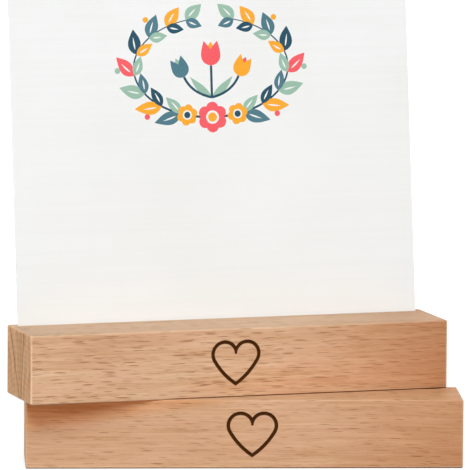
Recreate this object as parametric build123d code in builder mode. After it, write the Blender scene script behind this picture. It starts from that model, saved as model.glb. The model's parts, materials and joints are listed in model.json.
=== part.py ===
from build123d import *
import math
import os

# Two equal wooden blocks, each with a slanted slot for a print, stacked one on the other.
# The lower block lies along X and faces -Y. The origin is the middle of its bottom face.

# Each block, which is as long as its slot and the wood at both ends of it
block_depth = 31.0
block_height = 25.0
edge_ease = 0.6

# The print, a stiff card
print_width = 152.0
print_height = 203.0
print_thickness = 0.8

# The slot in the top of each block, stopped short of both ends
slot_depth = 10.0
slot_lean = 7.0
slot_rear_wall = 3.0
slot_end_wall = 2.4
slot_side_clearance = 0.3
slot_end_clearance = 0.6
mouth_ease = 0.25

# The heart burnt into the front of each block, measured on the middle of its line
heart_width = 17.35
heart_height = 15.3
cleft_angle = 18.3
flank_angle = 30.0
line_width = 1.15
line_depth = 0.35
lower_heart_shift = 2.7
upper_heart_shift = -2.0

# How the upper block is laid on the lower one
upper_turn = 15.0
upper_shift_x = -5.1
upper_shift_y = 7.4

# How far a cutting shape runs past the face that it opens
overrun = 1.0

slot_width = print_thickness + 2 * slot_side_clearance
slot_length = print_width + 2 * slot_end_clearance
block_length = slot_length + 2 * slot_end_wall
lean = math.radians(slot_lean)
mouth_y = block_depth / 2 - slot_rear_wall - slot_width / (2 * math.cos(lean))

lower_seat = Plane.XY
upper_seat = Plane(
    origin=(upper_shift_x, upper_shift_y, block_height),
    x_dir=(math.cos(math.radians(upper_turn)), math.sin(math.radians(upper_turn)), 0),
    z_dir=(0, 0, 1),
)


def front_plane(seat, shift):
    """The front face of the block that stands on seat, with its origin under the heart's point."""
    corner = seat.from_local_coords(Vector(shift, -block_depth / 2, 0))
    return Plane(origin=corner, x_dir=seat.x_dir, z_dir=-seat.y_dir)


def mouth_plane(seat):
    """The plane square to the slot, with its origin in the middle of the slot's mouth."""
    middle = seat.from_local_coords(Vector(0, mouth_y, block_height))
    along = seat.z_dir * math.cos(lean) + seat.y_dir * math.sin(lean)
    return Plane(origin=middle, x_dir=seat.x_dir, z_dir=along)


def holder_block(seat, shift):
    """One block on its seat: eased edges, the burnt heart in front and the print's slot on top."""
    lobe_radius = heart_width / 2 / (1 + math.cos(math.radians(cleft_angle)))
    lobe_x = heart_width / 2 - lobe_radius
    point_z = (block_height - heart_height) / 2
    lobe_z = point_z + heart_height - lobe_radius

    with BuildPart(seat) as block:
        Box(block_length, block_depth, block_height, align=(Align.CENTER, Align.CENTER, Align.MIN))
        fillet(block.edges(), edge_ease)

        # The heart's line is the ring between the same outline set out and set in by half its width.
        with BuildSketch(front_plane(seat, shift)) as heart:
            with BuildLine():
                lobe = CenterArc((lobe_x, lobe_z), lobe_radius, -flank_angle, 180 + flank_angle - cleft_angle)
                TangentArc(lobe @ 0, (0, point_z), tangent=-(lobe % 0))
                mirror(about=Plane.YZ)
            make_face()
            inside = offset(amount=-line_width / 2, mode=Mode.PRIVATE)
            offset(amount=line_width / 2)
            add(inside, mode=Mode.SUBTRACT)
        extrude(amount=-line_depth, mode=Mode.SUBTRACT)

        with BuildSketch(mouth_plane(seat).offset(overrun)):
            SlotOverall(slot_length, slot_width)
        extrude(amount=-(slot_depth + overrun), mode=Mode.SUBTRACT)
        mouth = block.faces().sort_by(Axis.Z)[-1].inner_wires()[0]
        chamfer(mouth.edges(), mouth_ease)
    return block


lower_block = holder_block(lower_seat, lower_heart_shift)
upper_block = holder_block(upper_seat, upper_heart_shift)

# The print stands on the floor of the upper slot and leans back with it.
with BuildPart() as photo_print:
    with BuildSketch(mouth_plane(upper_seat).offset(-slot_depth)):
        Rectangle(print_width, print_thickness)
    extrude(amount=print_height)

os.makedirs("parts", exist_ok=True)

lower_block.part.label = "lower_block"
export_step(lower_block.part, "parts/lower_block.step")

upper_block.part.label = "upper_block"
export_step(upper_block.part, "parts/upper_block.step")

photo_print.part.label = "photo_print"
export_step(photo_print.part, "parts/photo_print.step")
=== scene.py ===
"""Dresses a wooden photo block holder: two beech blocks with burnt hearts, and the printed card they hold.

Lengths are in millimetres on each piece's own axes, and become metres where a mesh or a node tree is made.
"""

from __future__ import annotations

import json
import logging
import math
from collections.abc import Sequence
from dataclasses import dataclass, field, replace
from enum import Enum

import bmesh
import bpy
import numpy as np
from mathutils import Matrix, Vector
from mathutils.geometry import delaunay_2d_cdt

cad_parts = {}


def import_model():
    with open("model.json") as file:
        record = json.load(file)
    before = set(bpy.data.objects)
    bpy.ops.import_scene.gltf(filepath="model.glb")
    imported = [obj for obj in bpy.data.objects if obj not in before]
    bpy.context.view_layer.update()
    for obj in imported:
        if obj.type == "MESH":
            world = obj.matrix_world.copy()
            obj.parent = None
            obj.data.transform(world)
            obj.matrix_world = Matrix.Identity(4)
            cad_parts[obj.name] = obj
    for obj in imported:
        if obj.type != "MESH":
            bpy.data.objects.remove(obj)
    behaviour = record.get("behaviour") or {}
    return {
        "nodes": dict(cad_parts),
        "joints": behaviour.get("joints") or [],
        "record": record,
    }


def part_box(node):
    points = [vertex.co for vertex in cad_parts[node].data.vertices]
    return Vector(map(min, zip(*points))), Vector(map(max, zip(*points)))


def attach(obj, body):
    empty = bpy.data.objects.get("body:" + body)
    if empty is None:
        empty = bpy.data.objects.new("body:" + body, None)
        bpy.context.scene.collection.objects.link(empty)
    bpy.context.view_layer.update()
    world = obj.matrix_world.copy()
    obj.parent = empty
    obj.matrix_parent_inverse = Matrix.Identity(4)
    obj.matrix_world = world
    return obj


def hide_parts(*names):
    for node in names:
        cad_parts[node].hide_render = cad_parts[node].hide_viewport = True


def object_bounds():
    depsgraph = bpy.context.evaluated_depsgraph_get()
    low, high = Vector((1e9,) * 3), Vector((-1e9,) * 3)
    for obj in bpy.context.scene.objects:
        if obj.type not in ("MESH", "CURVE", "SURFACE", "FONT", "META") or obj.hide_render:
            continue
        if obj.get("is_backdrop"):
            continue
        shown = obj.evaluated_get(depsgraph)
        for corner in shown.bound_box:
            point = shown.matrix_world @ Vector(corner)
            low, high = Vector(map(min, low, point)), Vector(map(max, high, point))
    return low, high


LOG = logging.getLogger("photo_block_holder")
MM = 0.001
MERGE_REACH = 1e-7

Colour = tuple[float, float, float, float]
Triple = tuple[float, float, float]
Pair = tuple[float, float]
Socket = bpy.types.NodeSocket

WHITE: Colour = (1.0, 1.0, 1.0, 1.0)


def tint(red: int, green: int, blue: int) -> Colour:
    """Turns a colour as it looks on a screen into the linear one that a shader takes.

    Args:
        red: from 0 to 255.
        green: from 0 to 255.
        blue: from 0 to 255.

    Returns:
        The linear red, green and blue, and an alpha of 1.
    """
    shares = np.array((red, green, blue)) / 255
    linear = np.where(shares <= 0.04045, shares / 12.92, ((shares + 0.055) / 1.055) ** 2.4)
    return (float(linear[0]), float(linear[1]), float(linear[2]), 1.0)


@dataclass(frozen=True)
class Placement:
    """Where a piece's own axes lie in the object's frame.

    The axes are turned about the vertical and then leant back: right runs along the piece, back points away
    from its front, and up runs up it. The origin is in millimetres, and a point (x, y, z) of the piece lies
    at origin + x * right + y * back + z * up.
    """

    origin: Triple
    turn: float = 0.0
    lean: float = 0.0

    def axes(self) -> np.ndarray:
        """The unit vectors right, back and up, as the rows of a 3 by 3 array."""
        ct, st, cl, sl = math.cos(self.turn), math.sin(self.turn), math.cos(self.lean), math.sin(self.lean)
        return np.array([(ct, st, 0.0), (-st * cl, ct * cl, -sl), (-st * sl, ct * sl, cl)])

    def to_frame(self, points: np.ndarray) -> np.ndarray:
        """Rows in millimetres on the piece's own axes, as rows in metres in the object's frame."""
        return (points @ self.axes() + np.array(self.origin)) * MM

    def from_frame(self, points: np.ndarray) -> np.ndarray:
        """The way back: rows in metres in the object's frame, as millimetres on the piece's own axes."""
        return (points / MM - np.array(self.origin)) @ self.axes().T


OBJECT_FRAME = Placement((0.0, 0.0, 0.0))


def node_points(node: bpy.types.Object) -> np.ndarray:
    """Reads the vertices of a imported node.

    Args:
        node: the node's object.

    Returns:
        Rows of (x, y, z), in metres in the object's frame.
    """
    flat = np.zeros(len(node.data.vertices) * 3, np.float32)
    node.data.vertices.foreach_get("co", flat)
    return flat.reshape(-1, 3).astype(float)


def new_piece(
    name: str, points: np.ndarray, faces: Sequence[Sequence[int]], marks: np.ndarray | None = None
) -> bpy.types.Object:
    """Makes one mesh object at the origin from finished points and faces.

    Args:
        name: the piece's name.
        points: its vertices, in metres in the object's frame.
        faces: the vertex numbers of each face.
        marks: the number of each face's material, for a piece that has more than one.

    Returns:
        The object, with doubles merged and its faces turned outwards.
    """
    mesh = bpy.data.meshes.new(name)
    mesh.from_pydata(points.tolist(), [], [list(map(int, face)) for face in faces])
    if marks is not None:
        mesh.polygons.foreach_set("material_index", marks.astype(np.int32))
    shape = bmesh.new()
    shape.from_mesh(mesh)
    bmesh.ops.remove_doubles(shape, verts=shape.verts, dist=MERGE_REACH)
    bmesh.ops.dissolve_degenerate(shape, dist=MERGE_REACH, edges=shape.edges)
    bmesh.ops.recalc_face_normals(shape, faces=shape.faces)
    shape.to_mesh(mesh)
    shape.free()
    piece = bpy.data.objects.new(name, mesh)
    bpy.context.scene.collection.objects.link(piece)
    return piece


# How the shift of a pattern differs from axis to axis, so that no axis repeats another
AXIS_SHIFTS: Triple = (1.0, 1.7, 2.3)


@dataclass(frozen=True)
class Noise:
    """A noise pattern. Its features are about as long along, across and up as its periods in millimetres.

    The shift picks the part of the endless pattern that shows.
    """

    periods: Triple
    shift: float
    detail: float = 2.0
    rough: float = 0.5


class Value:
    """A number, a vector or a colour that a node gives. Numbers add and multiply as plain ones do."""

    def __init__(self, nodes: Nodes, socket: Socket) -> None:
        """Wraps the socket that gives the value."""
        self.nodes, self.socket = nodes, socket

    def __add__(self, other: Input) -> Value:
        """The sum of both."""
        return self.nodes.math("ADD", self, other)

    def __sub__(self, other: Input) -> Value:
        """The number less the other."""
        return self.nodes.math("SUBTRACT", self, other)

    def __mul__(self, other: Input) -> Value:
        """The product of both."""
        return self.nodes.math("MULTIPLY", self, other)

    def __truediv__(self, other: Input) -> Value:
        """The number divided by the other."""
        return self.nodes.math("DIVIDE", self, other)

    def __abs__(self) -> Value:
        """The number without its sign."""
        return self.nodes.math("ABSOLUTE", self)

    def below(self, limit: Input) -> Value:
        """1 where the number is less than a limit, and 0 elsewhere."""
        return self.nodes.math("LESS_THAN", self, limit)

    def clamped(self) -> Value:
        """The number, kept between 0 and 1."""
        return self.nodes.math("ADD", self, 0.0, clamp=True)

    def sway(self, weight: float) -> Value:
        """A weight times how far a pattern lies above its middle value, 0.5."""
        return (self - 0.5) * weight


Input = float | Sequence[float] | Socket | Value
Inputs = dict[str | int, Input]


class Nodes:
    """A short way to add and join the nodes of one material or world."""

    def __init__(self, tree: bpy.types.NodeTree) -> None:
        """Starts with an emptied node tree."""
        self.tree = tree
        tree.nodes.clear()

    def add(self, kind: str, inputs: Inputs | None = None, **settings: object) -> bpy.types.Node:
        """Adds a node.

        Args:
            kind: the node's type name, without its leading ShaderNode.
            inputs: what goes into its inputs, by name or number: plain values, or what other nodes give.
            settings: its properties.

        Returns:
            The node.
        """
        node = self.tree.nodes.new("ShaderNode" + kind)
        for name, setting in settings.items():
            setattr(node, name, setting)
        for key, value in (inputs or {}).items():
            source = value.socket if isinstance(value, Value) else value
            if isinstance(source, Socket):
                self.tree.links.new(source, node.inputs[key])
            else:
                node.inputs[key].default_value = source
        return node

    def math(self, operation: str, *values: Input, clamp: bool = False) -> Value:
        """The result of a Math node on the values."""
        node = self.add("Math", dict(enumerate(values)), operation=operation, use_clamp=clamp)
        return Value(self, node.outputs[0])

    def least(self, one: Input, other: Input) -> Value:
        """The smaller of two numbers."""
        return self.math("MINIMUM", one, other)

    def most(self, one: Input, other: Input) -> Value:
        """The larger of two numbers."""
        return self.math("MAXIMUM", one, other)

    def vector(self, operation: str, *values: Input) -> Value:
        """The vector that a Vector Math node makes of the values."""
        node = self.add("VectorMath", dict(enumerate(values)), operation=operation)
        return Value(self, node.outputs["Vector"])

    def length(self, vector: Input) -> Value:
        """How long a vector is."""
        return Value(self, self.add("VectorMath", {0: vector}, operation="LENGTH").outputs["Value"])

    def join(self, x: Input, y: Input = 0.0) -> Value:
        """The vector of an x and a y, with a z of 0."""
        return Value(self, self.add("CombineXYZ", {0: x, 1: y}).outputs[0])

    def split(self, vector: Input) -> tuple[Value, ...]:
        """The x, y and z of a vector."""
        return tuple(Value(self, socket) for socket in self.add("SeparateXYZ", {0: vector}).outputs)

    def ramp(
        self,
        value: Input,
        start: Input,
        end: Input,
        low: Input = 0.0,
        high: Input = 1.0,
        kind: str = "LINEAR",
    ) -> Value:
        """A ramp from low at start to high at end, and level past both."""
        inputs = {"Value": value, "From Min": start, "From Max": end, "To Min": low, "To Max": high}
        return Value(self, self.add("MapRange", inputs, interpolation_type=kind).outputs["Result"])

    def ease(self, *values: Input) -> Value:
        """The same as ramp, with an S curve between start and end."""
        return self.ramp(*values, kind="SMOOTHSTEP")

    def mix(self, share: Input, first: Input, second: Input, blend: str = "MIX") -> Value:
        """The first colour with a share of the second mixed into it."""
        # A Mix node's colours are its inputs 6 and 7 and its output 2.
        node = self.add("Mix", {0: share, 6: first, 7: second}, data_type="RGBA", blend_type=blend)
        return Value(self, node.outputs[2])

    def noise(self, place: Input, pattern: Noise, seed: float = 0.0, output: str = "Fac") -> Value:
        """Reads a pattern.

        Args:
            place: where to read it, in millimetres.
            pattern: the pattern.
            seed: what to add to the pattern's own shift.
            output: Fac for a strength or Color for three, each mostly between 0.3 and 0.7.

        Returns:
            The pattern's strength there, or its colour.
        """
        scale = tuple(1 / period for period in pattern.periods)
        shift = tuple((seed + pattern.shift) * share for share in AXIS_SHIFTS)
        spot = self.vector("MULTIPLY_ADD", place, scale, shift)
        inputs = {"Vector": spot, "Scale": 1.0, "Detail": pattern.detail, "Roughness": pattern.rough}
        return Value(self, self.add("TexNoise", inputs).outputs[output])

    def own_place(self, placement: Placement) -> Value:
        """Turns the shaded point onto a piece's own axes.

        Args:
            placement: where those axes lie, turned but not leant.

        Returns:
            The point on them, in millimetres.
        """
        inputs = {
            "Vector": self.add("TexCoord").outputs["Object"],
            "Location": tuple(-(placement.axes() @ np.array(placement.origin))),
            "Rotation": (0.0, 0.0, -placement.turn),
            "Scale": (1 / MM, 1 / MM, 1 / MM),
        }
        return Value(self, self.add("Mapping", inputs).outputs[0])

    def bump(self, strength: float, depth: float, height: Input) -> Value:
        """The shading normal of a relief as deep as depth, in millimetres."""
        inputs = {"Strength": strength, "Distance": depth * MM, "Height": height}
        return Value(self, self.add("Bump", inputs).outputs[0])

    def finish(self, shader: bpy.types.Node) -> None:
        """Joins a shader to the material's output."""
        self.add("OutputMaterial", {"Surface": shader.outputs[0]})

    def finish_principled(self, colour: Input, roughness: Input, specular: float, normal: Input) -> None:
        """Ends the material in one Principled shader."""
        inputs = {"Base Color": colour, "Roughness": roughness, "Normal": normal}
        self.finish(self.add("BsdfPrincipled", inputs | {"Specular IOR Level": specular}))


def new_material(name: str) -> tuple[bpy.types.Material, Nodes]:
    """Makes a material with an emptied node tree.

    Args:
        name: the material's name.

    Returns:
        The material, and the helper that fills its node tree.
    """
    material = bpy.data.materials.new(name)
    material.use_nodes = True
    return material, Nodes(material.node_tree)


@dataclass(frozen=True)
class EndCheck:
    """A dark line down a block's left end, from its top edge to its foot.

    top_y and foot_y say how far behind the block's middle it starts and ends. It has its strength, up to 1,
    in its middle and fades out within half_width on both sides.
    """

    top_y: float
    foot_y: float
    half_width: float
    strength: float


@dataclass(frozen=True)
class FleckKind:
    """One kind of the short dark marks in beech, with at most one mark in each cell of a pattern.

    The cell has a size along, across and up. The radii are the smallest and the largest mark's, and kept is
    the share of cells that hold one. Both are shares from 0 to 1, and so is the marks' darkness.
    """

    cell: Triple
    radii: Pair
    kept: float
    darkness: float


SMALL_FLECK = FleckKind((5.6, 1.1, 0.36), (0.2, 0.4), 0.7, 0.42)
THIN_FLECK = FleckKind((22.0, 1.6, 0.6), (0.12, 0.3), 0.5, 0.38)
LARGE_FLECK = FleckKind((7.8, 1.2, 0.37), (0.24, 0.46), 0.62, 0.9)


class WoodSpot:
    """The shaded point of a block, on the block's own axes, and the patterns of its wood there.

    far says how far it lies from the block's middle, along, across and up, and past how far it lies
    beyond the start of the eased edges. level_face is 1 on the top and the bottom face, and end_face is 1
    on both ends.
    """

    def __init__(self, nodes: Nodes, finish: BeechFinish, block: HolderBlock) -> None:
        """Adds the nodes that every layer of the finish reads.

        Args:
            nodes: the material's nodes.
            finish: the beech, whose patterns run through the block.
            block: the block.
        """
        self.nodes, self.block = nodes, block
        place = nodes.own_place(block.placement)
        self.along, self.across, self.up = nodes.split(place)
        self.grain = finish.grain(nodes, place)
        self.fibre = nodes.noise(self.grain, finish.fibre, finish.seed)
        self.streak = nodes.noise(self.grain, finish.streak, finish.seed)
        self.cloud = nodes.noise(place, finish.cloud, finish.seed)
        self.speck = nodes.noise(place, finish.speck, finish.seed)
        self.late, self.reach, self.angle = finish.rings(self)
        self.small, self.thin, self.large = (finish.flecks(self, kind) for kind in finish.fleck_kinds)
        halves = (block.length / 2, block.depth / 2, block.height / 2)
        self.far = (abs(self.along), abs(self.across), abs(self.up - halves[2]))
        self.past = tuple(far - (half - block.edge_ease) for far, half in zip(self.far, halves))
        self.level_face = nodes.ease(self.far[2], *(halves[2] - inset for inset in finish.level_insets))
        self.end_face = nodes.ease(self.far[0], *(halves[0] - inset for inset in finish.end_insets))


@dataclass(frozen=True)
class EdgeWearAndHighlight:
    """How far the eased edges are pale: partly rubbed by wear, and partly a painted highlight where the
    lamps catch the rounded edges.

    side is the paleness of the upright edges, and level that of the level ones, of which the share foot is
    left at the block's foot and the share top at its top. side_band and level_band say where the paleness
    starts and where it is full, in millimetres past the start of an edge. Where a streak is dark, only
    dark_share of it is left.
    """

    colour: Colour = tint(246, 212, 180)
    side: float = 0.55
    level: float = 0.7
    top: float = 0.2
    foot: float = 0.8
    side_band: Pair = (-0.08, 0.14)
    level_band: Pair = (-0.1, 0.12)
    streak_band: Pair = (0.3, 0.6)
    dark_share: float = 0.55

    def share(self, spot: WoodSpot) -> Value:
        """Works out how far the wood is pale from wear and from the painted highlight.

        Args:
            spot: the shaded point.

        Returns:
            0 away from the eased edges, and up to 1 on them.
        """
        nodes, (along, across, up) = spot.nodes, spot.past
        upright = nodes.ease(nodes.least(along, across), *self.side_band, 0.0, self.side)
        level = nodes.least(nodes.most(along, across), up)
        level = nodes.ease(level, *self.level_band, 0.0, self.level)
        level = level * nodes.ramp(spot.up, 0.0, spot.block.height, self.foot, self.top)
        return nodes.most(upright, level) * nodes.ramp(spot.streak, *self.streak_band, self.dark_share, 1.0)


@dataclass(frozen=True)
class Shelter:
    """Painted shade on a block: a painted shadow under the other one's overhang, and painted shade along
    its foot where it touches something.

    The painted shadow is a wedge on the front that ends at shade_from and gets deeper to the left by
    shade_slope. The foot is darkened right of touch_from, over the heights of foot_shade_band, by a painted
    shade that dims the light bounced up to it, and a dark painted contact shade runs along its edge.
    """

    overhang_shadow_tone: Colour = WHITE
    shade_from: float = -6.0
    shade_slope: float = 0.15
    shade_blur: float = 2.2
    shade_depth: float = 1.0
    foot_painted_shade: Colour = WHITE
    foot_shade_band: Pair = (4.5, 0.6)
    touch_from: float = -100.0
    touch_blur: float = 12.0
    contact_shade: Colour = tint(106, 52, 4)
    contact_shade_strength: float = 0.9
    contact_shade_past: Pair = (0.0, 0.1)
    contact_shade_band: Pair = (0.5, 0.3)

    def tone(self, spot: WoodSpot, colour: Value) -> Value:
        """Paints shade on the wood: a shadow in the wedge under the overhang, and shade along the foot and
        its edge.

        Args:
            spot: the shaded point.
            colour: the wood's colour.

        Returns:
            The colour with the painted shade.
        """
        nodes, front = spot.nodes, -spot.block.depth / 2
        # Painted shadow: the wedge of the front that the other block's overhang shades
        wedge_foot = (spot.along - self.shade_from) * self.shade_slope + spot.block.height
        shade = nodes.ease(spot.up - wedge_foot, -self.shade_blur, self.shade_blur)
        shade = shade * nodes.ease(spot.across, front + self.shade_depth, front)
        colour = nodes.mix(shade, colour, self.overhang_shadow_tone, "MULTIPLY")
        # Painted shade along the foot, right of touch_from, that dims the light bounced up to it
        touching = nodes.ease(spot.along, self.touch_from, self.touch_from + self.touch_blur)
        foot = touching * nodes.ease(spot.up, *self.foot_shade_band)
        colour = nodes.mix(foot, colour, self.foot_painted_shade, "MULTIPLY")
        # Painted contact shade: a dark line along the foot's edge, where it touches what it stands on
        rim = nodes.ease(nodes.most(spot.past[0], spot.past[1]), *self.contact_shade_past)
        low = nodes.ease(spot.up, *self.contact_shade_band, 0.0, self.contact_shade_strength)
        return nodes.mix(touching * rim * low, colour, self.contact_shade)


@dataclass(frozen=True)
class Cuts:
    """The sawn wood in the slot, and the burnt wood in the heart's groove and on its rim.

    The slot's wood lies deeper than slot_insets, along, across and up. The groove's starts within
    groove_start of the front and ends at groove_end, groove_inset from the top and the foot. heat_reach is
    how far beside the line the wood is scorched.
    """

    sawn: Colour = tint(170, 120, 82)
    sawn_strength: float = 0.75
    slot_insets: Triple = (1.0, 1.2, 0.35)
    burnt: Colour = tint(62, 33, 8)
    groove_start: Pair = (0.03, 0.06)
    groove_end: float = 0.45
    groove_inset: float = 2.0
    heat_reach: float = 0.18

    def scorch(self, spot: WoodSpot) -> Value:
        """Works out how dark the wood is scorched beside the burnt line.

        Both halves of the heart are alike, so the distance to its line is that to the lobe's circle above
        the place where the two arcs meet, and that to the flank's circle below it.

        Args:
            spot: the shaded point.

        Returns:
            1 at the line's rim on the front face, falling to 0 where the heat ends.
        """
        nodes, block, heart = spot.nodes, spot.block, spot.block.heart
        side = abs(spot.along - block.heart_shift)
        rise = spot.up - (block.height - heart.height) / 2
        flank_gap, lobe_gap = (
            abs(nodes.length(nodes.join(side - x, rise - z)) - radius)
            for x, z, radius in (heart.flank(), heart.lobe())
        )
        lobe_x, lobe_z, _ = heart.lobe()
        seam = nodes.most(side - lobe_x, 0.0) * -math.tan(math.radians(heart.flank_angle)) + lobe_z
        gap = nodes.ramp(rise.below(seam), 0.0, 1.0, lobe_gap, flank_gap)
        rim = heart.line_width / 2
        scorched = nodes.ease(gap, rim + self.heat_reach, rim)
        return scorched * spot.across.below(self.groove_start[0] - block.depth / 2)

    def tone(self, spot: WoodSpot, colour: Value) -> Value:
        """Colours the cuts.

        Args:
            spot: the shaded point.
            colour: the wood's colour.

        Returns:
            The colour, turned to sawn wood in the slot and to burnt wood in the groove and on its rim.
        """
        nodes, block, front = spot.nodes, spot.block, -spot.block.depth / 2
        rows = zip(spot.far, (block.length, block.depth, block.height), self.slot_insets)
        along, across, up = (far.below(size / 2 - inset) for far, size, inset in rows)
        colour = nodes.mix(along * across * up * self.sawn_strength, colour, self.sawn)
        behind = nodes.ease(spot.across, *(front + start for start in self.groove_start))
        groove = behind * spot.across.below(front + self.groove_end) * along
        groove = groove * spot.far[2].below(block.height / 2 - self.groove_inset)
        return nodes.mix(nodes.most(groove, self.scorch(spot)), colour, self.burnt)


@dataclass(frozen=True)
class BeechFinish:
    """Bare sanded beech, with its grain along the block.

    The pith is the middle of the growth rings, (y, z) on the block's axes. The wood is pale at the left
    and turns to amber between the two warm_shares of the block's length. A weight says how far a pattern
    moves the wood from its deep colour to its pale one, and a band between which of its strengths a
    pattern takes effect.
    """

    seed: float
    pith: Pair
    warm_shares: Pair
    warm_strength: float
    checks: tuple[EndCheck, ...] = ()

    # The patterns of the wood, and how far they move the wood's tone
    slow_waver: Noise = Noise((64.0, 15.0, 15.0), 0.0)
    quick_waver: Noise = Noise((15.0, 6.0, 6.0), 2.0, 1.0)
    slow_reach: float = 2.6
    quick_reach: float = 0.8
    fibre: Noise = Noise((24.0, 0.55, 0.55), 4.0, 3.0, 0.55)
    fibre_weight: float = 1.7
    fibre_base: float = -0.35
    streak: Noise = Noise((32.0, 1.9, 1.9), 9.0, 3.0, 0.55)
    streak_weight: float = 1.3
    band: Noise = Noise((120.0, 6.0, 6.0), 14.0)
    band_weight: float = 0.9
    cloud: Noise = Noise((38.0, 20.0, 12.0), 19.0)
    cloud_weight: float = 0.5
    speck: Noise = Noise((0.34, 0.34, 0.34), 29.0, 2.0, 0.6)
    speck_weight: float = 0.7
    blush: Noise = Noise((22.0, 9.0, 5.0), 33.0)
    blush_band: Pair = (0.4, 0.7)
    blush_strength: float = 0.5

    # The growth rings, and the rays that spread from the pith on the ends
    ring_spacing: float = 2.3
    ring_waver: float = 3.0
    late_band: Pair = (0.45, 0.95)
    late_weight: float = -0.16
    end_late_weight: float = -0.22
    ray: Noise = Noise((1.0, 1.0, 1.0), 23.0, 3.0, 0.6)
    ray_scale: Pair = (17.0, 0.07)
    ray_weight: float = 2.6
    ray_base: float = 0.58

    # The flecks: their core is the fully dark share of a mark, and their strengths are those at both ends
    fleck_kinds: tuple[FleckKind, ...] = (SMALL_FLECK, THIN_FLECK, LARGE_FLECK)
    fleck_shear: float = 2.3
    fleck_shifts: Triple = (3.1, 1.0, 1.3)
    fleck_core: float = 0.6
    fleck_strengths: Pair = (1.0, 0.6)

    # The colours of the faces and of the ends
    pale: Colour = tint(237, 200, 165)
    deep: Colour = tint(210, 163, 124)
    rosy: Colour = tint(224, 176, 145)
    amber: Colour = tint(193, 134, 91)
    amber_fleck: float = 0.35
    fleck: Colour = tint(144, 86, 40)
    end_pale: Colour = tint(230, 179, 132)
    end_deep: Colour = tint(190, 133, 90)
    check: Colour = tint(128, 72, 20)

    # Where the ends and the level faces start, inside the block's outline
    end_insets: Pair = (0.4, 0.12)
    level_insets: Pair = (0.2, 0.02)

    # How the level faces differ: painted light and shade that multiplies them, for how the lamps light the
    # top faces, the share of the amber that they keep, and how far their pattern gives way to one calm tone
    # between deep and pale
    level_painted_light: Colour = (0.82, 0.78, 0.76, 1.0)
    level_warmth: float = 0.5
    level_calm: float = 0.4
    calm_tone: float = 0.52

    # The relief: how high the fibres and specks stand and how deep the marks go, as shares of its depth
    fibre_height: float = 0.7
    speck_height: float = 0.9
    small_dent: float = 0.4
    large_dent: float = 0.8
    check_dent: float = 1.2
    relief_depth: float = 0.05
    relief_strength: float = 0.5

    # The gloss, from a low fibre to a high one
    gloss_band: Pair = (0.3, 0.7)
    roughness: Pair = (0.58, 0.46)
    specular: float = 0.08

    wear_and_highlight: EdgeWearAndHighlight = EdgeWearAndHighlight()
    shelter: Shelter = Shelter()
    cuts: Cuts = Cuts()

    def grain(self, nodes: Nodes, place: Input) -> Value:
        """Wavers the shaded point across the grain, so that no fibre runs dead straight.

        Args:
            nodes: the material's nodes.
            place: the point on the block's own axes.

        Returns:
            The point, moved across and up by a slow pattern and a quick one.
        """
        slow = nodes.noise(place, self.slow_waver, self.seed, "Color")
        quick = nodes.noise(place, self.quick_waver, self.seed, "Color")
        reach, centre = self.slow_reach, -self.slow_reach / 2
        waver = nodes.vector("MULTIPLY_ADD", slow, (0.0, reach, reach), (0.0, centre, centre))
        waver = nodes.vector("MULTIPLY_ADD", quick, (0.0, self.quick_reach, self.quick_reach), waver)
        return nodes.vector("ADD", place, waver)

    def flecks(self, spot: WoodSpot, kind: FleckKind) -> Value:
        """Short lens-shaped marks that lie along the grain.

        Each cell of a stretched Voronoi pattern may hold one mark: a stretched ball round the cell's point,
        with a radius and a strength drawn from the cell's own random colour. The cells are sheared, so that
        the marks don't stand in columns.

        Args:
            spot: the shaded point.
            kind: the size and the number of the marks.

        Returns:
            0 between the marks and up to 1 in the darkest.
        """
        nodes = spot.nodes
        scale = tuple(1 / size for size in kind.cell)
        rise = nodes.split(spot.grain)[2]
        place = nodes.vector("ADD", spot.grain, nodes.join(rise * self.fleck_shear))
        shift = tuple(self.seed * share for share in self.fleck_shifts)
        place = nodes.vector("MULTIPLY_ADD", place, scale, shift)
        cells = nodes.add("TexVoronoi", {"Vector": place, "Scale": 1.0}).outputs
        chance, size, _ = nodes.split(cells["Color"])
        radius = nodes.ramp(size, 0.0, 1.0, *kind.radii)
        mark = nodes.ease(cells["Distance"], radius, radius * self.fleck_core)
        return mark * nodes.ramp(chance, 1 - kind.kept, 1 - kind.kept / 2)

    def rings(self, spot: WoodSpot) -> tuple[Value, Value, Value]:
        """Growth rings round the pith, one for each ring_spacing of the distance from it.

        Args:
            spot: the shaded point.

        Returns:
            The dark late wood of each ring, 0 to 1, then the distance from the pith and the angle round it.
        """
        nodes = spot.nodes
        _, across, up = nodes.split(spot.grain)
        side, rise = across - self.pith[0], up - self.pith[1]
        reach = nodes.length(nodes.join(side, rise))
        phase = nodes.math("FRACT", (spot.cloud * self.ring_waver + reach) / self.ring_spacing)
        return nodes.ease(phase, *self.late_band), reach, nodes.math("ARCTAN2", side, rise)

    def end_lines(self, spot: WoodSpot) -> Value:
        """The dark lines of the left end, each with a straight middle from top_y to foot_y.

        Args:
            spot: the shaded point.

        Returns:
            0 beside the lines, and up to 1 on them.
        """
        nodes = spot.nodes
        dark: Input = 0.0
        for check in self.checks:
            slope = (check.top_y - check.foot_y) / spot.block.height
            away = abs(spot.across - (spot.up * slope + check.foot_y))
            dark = nodes.most(dark, nodes.ease(away, check.half_width, 0.0, 0.0, check.strength))
        return spot.along.below(0.0) * dark

    def face_colour(self, spot: WoodSpot) -> Value:
        """The wood along the grain: deep and pale wood, warmer towards the right, with its flecks.

        Args:
            spot: the shaded point.

        Returns:
            Its colour.
        """
        nodes, half = spot.nodes, spot.block.length / 2
        band, blush = (nodes.noise(spot.grain, pattern, self.seed) for pattern in (self.band, self.blush))
        tone = spot.fibre * self.fibre_weight + self.fibre_base
        tone = tone + spot.streak.sway(self.streak_weight) + band.sway(self.band_weight)
        tone = tone + spot.speck.sway(self.speck_weight) + spot.late * self.late_weight
        tone = tone.clamped()
        colour = nodes.mix(tone, self.deep, self.pale)
        colour = nodes.mix(nodes.ramp(blush, *self.blush_band, 0.0, self.blush_strength), colour, self.rosy)

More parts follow.
